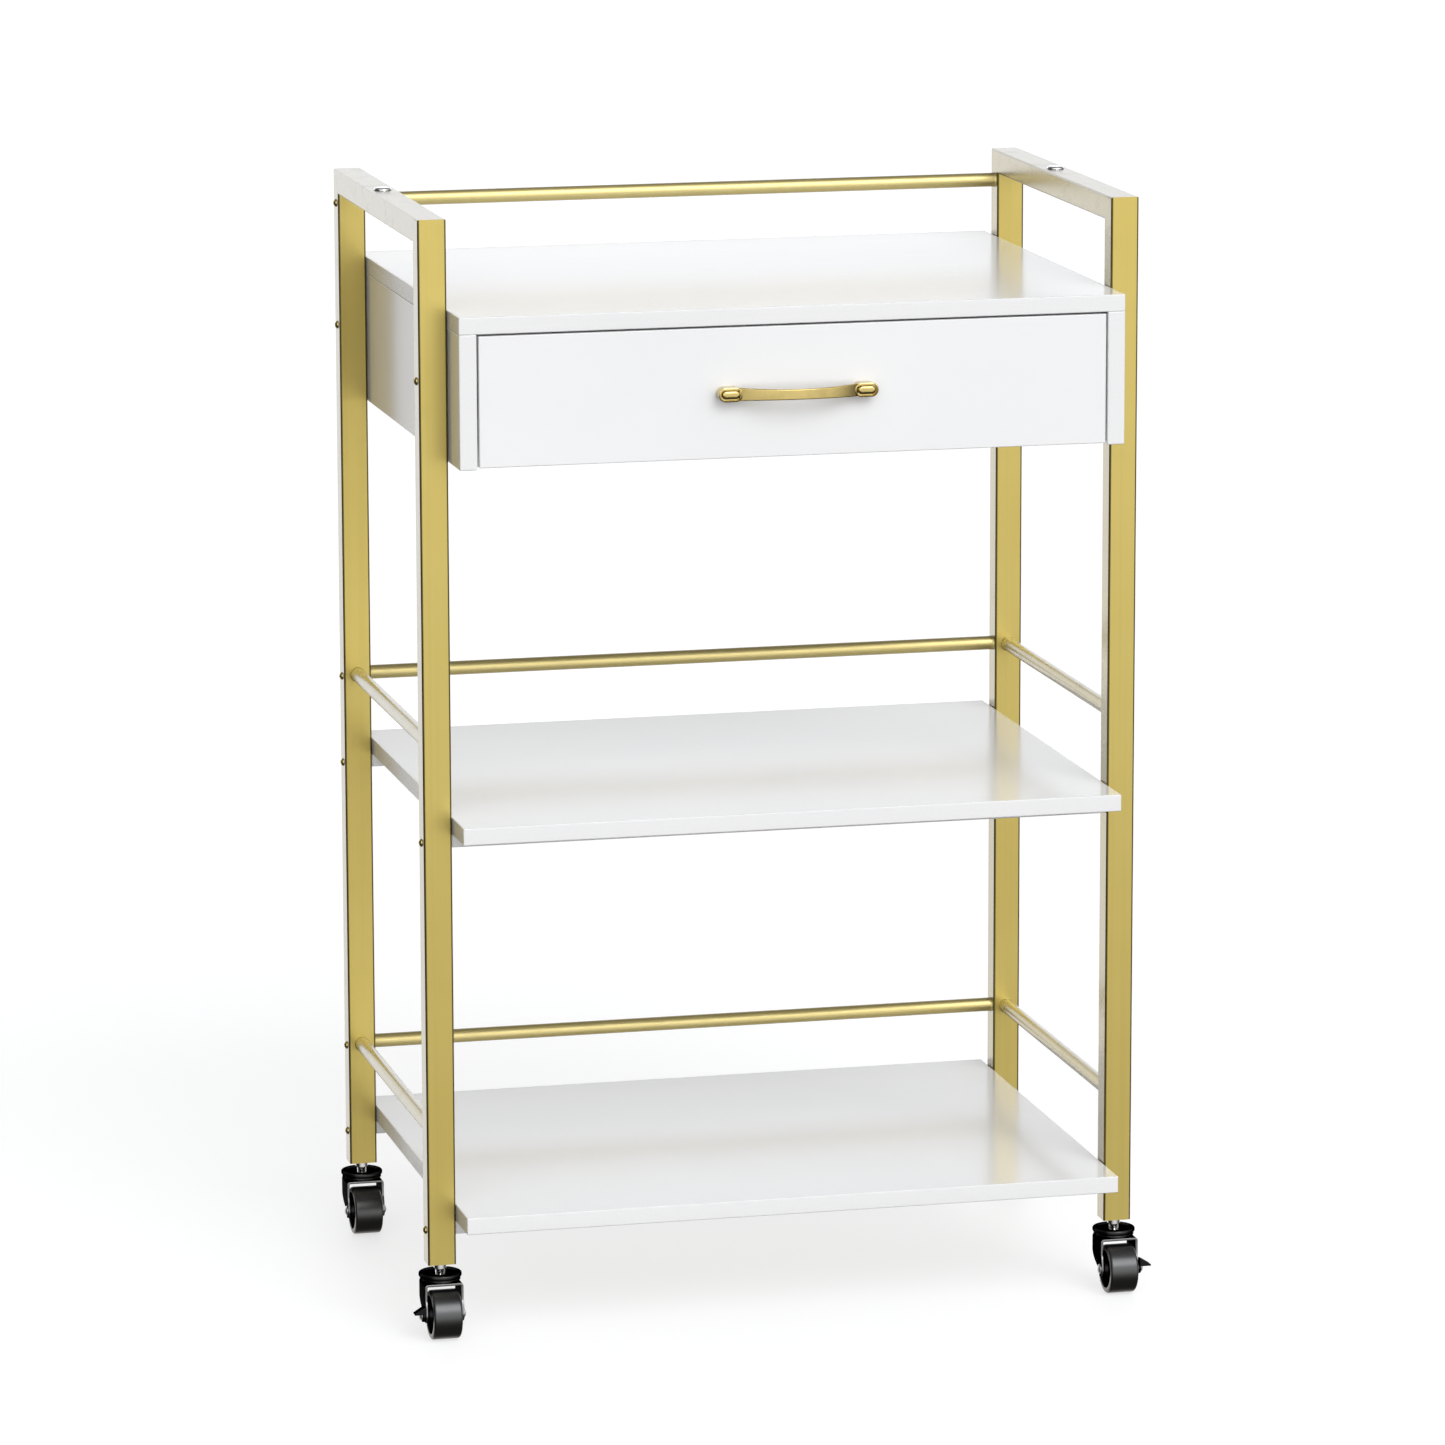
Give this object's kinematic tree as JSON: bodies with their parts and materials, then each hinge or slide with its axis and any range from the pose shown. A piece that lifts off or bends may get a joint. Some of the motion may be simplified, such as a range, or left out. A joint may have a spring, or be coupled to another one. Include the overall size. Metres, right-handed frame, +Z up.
{
  "type": "mobile printer stand",
  "caption": "Rolling stand for a printer: tubular metal side frames with rails, white boards, a drawer under the top board and swivel casters with brakes in front.",
  "frame": {"origin": "on the floor, under the middle of the whole part", "axes": "+X to the right seen from the front, -Y towards the front where the drawer opens, +Z up"},
  "size_m": [0.6284, 0.444, 0.9242],
  "materials": {
    "gold_tube": "satin gold plating",
    "gold_cast": "bright gold",
    "white_board": "semi-gloss white laminate",
    "black_steel": "gloss black",
    "black_plastic": "satin black",
    "chrome": "bright",
    "zinc": "zinc plated"
  },
  "bodies": {
    "frame": {"left_front_post": "gold_tube", "left_rear_post": "gold_tube", "left_top_bar": "gold_tube", "left_mid_rail": "gold_tube", "left_low_rail": "gold_tube", "right_front_post": "gold_tube", "right_rear_post": "gold_tube", "right_top_bar": "gold_tube", "right_mid_rail": "gold_tube", "right_low_rail": "gold_tube", "rear_top_rail": "gold_tube", "rear_mid_rail": "gold_tube", "rear_low_rail": "gold_tube", "top_board": "white_board", "mid_shelf": "white_board", "mid_shelf_front_batten": "white_board", "mid_shelf_rear_batten": "white_board", "low_shelf": "white_board", "low_shelf_front_batten": "white_board", "low_shelf_rear_batten": "white_board", "cabinet_left_panel": "white_board", "cabinet_right_panel": "white_board", "cabinet_back_panel": "white_board", "runner_left_cabinet": "zinc", "runner_right_cabinet": "zinc", "left_bar_bolt": "chrome", "right_bar_bolt": "chrome", "front_left_stem": "chrome", "front_right_stem": "chrome", "rear_left_stem": "chrome", "rear_right_stem": "chrome"},
    "drawer": {"drawer_front": "white_board", "drawer_left_wall": "white_board", "drawer_right_wall": "white_board", "drawer_back": "white_board", "drawer_bottom": "white_board", "drawer_handle": "gold_cast", "runner_left_drawer": "zinc", "runner_right_drawer": "zinc"},
    "front_left_swivel_head": {"front_left_dish": "black_steel", "front_left_fork": "black_steel", "front_left_axle": "chrome"},
    "front_left_roller": {"front_left_wheel": "black_plastic"},
    "front_left_pedal": {"front_left_brake": "black_plastic"},
    "front_right_swivel_head": {"front_right_dish": "black_steel", "front_right_fork": "black_steel", "front_right_axle": "chrome"},
    "front_right_roller": {"front_right_wheel": "black_plastic"},
    "front_right_pedal": {"front_right_brake": "black_plastic"},
    "rear_left_swivel_head": {"rear_left_dish": "black_steel", "rear_left_fork": "black_steel", "rear_left_axle": "chrome"},
    "rear_left_roller": {"rear_left_wheel": "black_plastic"},
    "rear_right_swivel_head": {"rear_right_dish": "black_steel", "rear_right_fork": "black_steel", "rear_right_axle": "chrome"},
    "rear_right_roller": {"rear_right_wheel": "black_plastic"}
  },
  "joints": [
    {"name": "drawer_slide", "type": "slide", "parent": "frame", "child": "drawer", "axis": [0, -1, 0], "range_m": [0, 0.26]},
    {"name": "front_left_swivel", "type": "hinge", "parent": "frame", "child": "front_left_swivel_head", "pos_m": [-0.28825, -0.1465, 0.05], "axis": [0, 0, 1], "continuous": true},
    {"name": "front_left_roll", "type": "hinge", "parent": "front_left_swivel_head", "child": "front_left_roller", "pos_m": [-0.28825, -0.1615, 0.0205], "axis": [1, 0, 0], "continuous": true},
    {"name": "front_left_brake_press", "type": "hinge", "parent": "front_left_swivel_head", "child": "front_left_pedal", "pos_m": [-0.28825, -0.1615, 0.0205], "axis": [1, 0, 0], "range_deg": [0, 30]},
    {"name": "front_right_swivel", "type": "hinge", "parent": "frame", "child": "front_right_swivel_head", "pos_m": [0.28825, -0.1465, 0.05], "axis": [0, 0, 1], "continuous": true},
    {"name": "front_right_roll", "type": "hinge", "parent": "front_right_swivel_head", "child": "front_right_roller", "pos_m": [0.28825, -0.1615, 0.0205], "axis": [1, 0, 0], "continuous": true},
    {"name": "front_right_brake_press", "type": "hinge", "parent": "front_right_swivel_head", "child": "front_right_pedal", "pos_m": [0.28825, -0.1615, 0.0205], "axis": [1, 0, 0], "range_deg": [0, 30]},
    {"name": "rear_left_swivel", "type": "hinge", "parent": "frame", "child": "rear_left_swivel_head", "pos_m": [-0.28825, 0.1945, 0.05], "axis": [0, 0, 1], "continuous": true},
    {"name": "rear_left_roll", "type": "hinge", "parent": "rear_left_swivel_head", "child": "rear_left_roller", "pos_m": [-0.28825, 0.1795, 0.0205], "axis": [1, 0, 0], "continuous": true},
    {"name": "rear_right_swivel", "type": "hinge", "parent": "frame", "child": "rear_right_swivel_head", "pos_m": [0.28825, 0.1945, 0.05], "axis": [0, 0, 1], "continuous": true},
    {"name": "rear_right_roll", "type": "hinge", "parent": "rear_right_swivel_head", "child": "rear_right_roller", "pos_m": [0.28825, 0.1795, 0.0205], "axis": [1, 0, 0], "continuous": true}
  ]
}
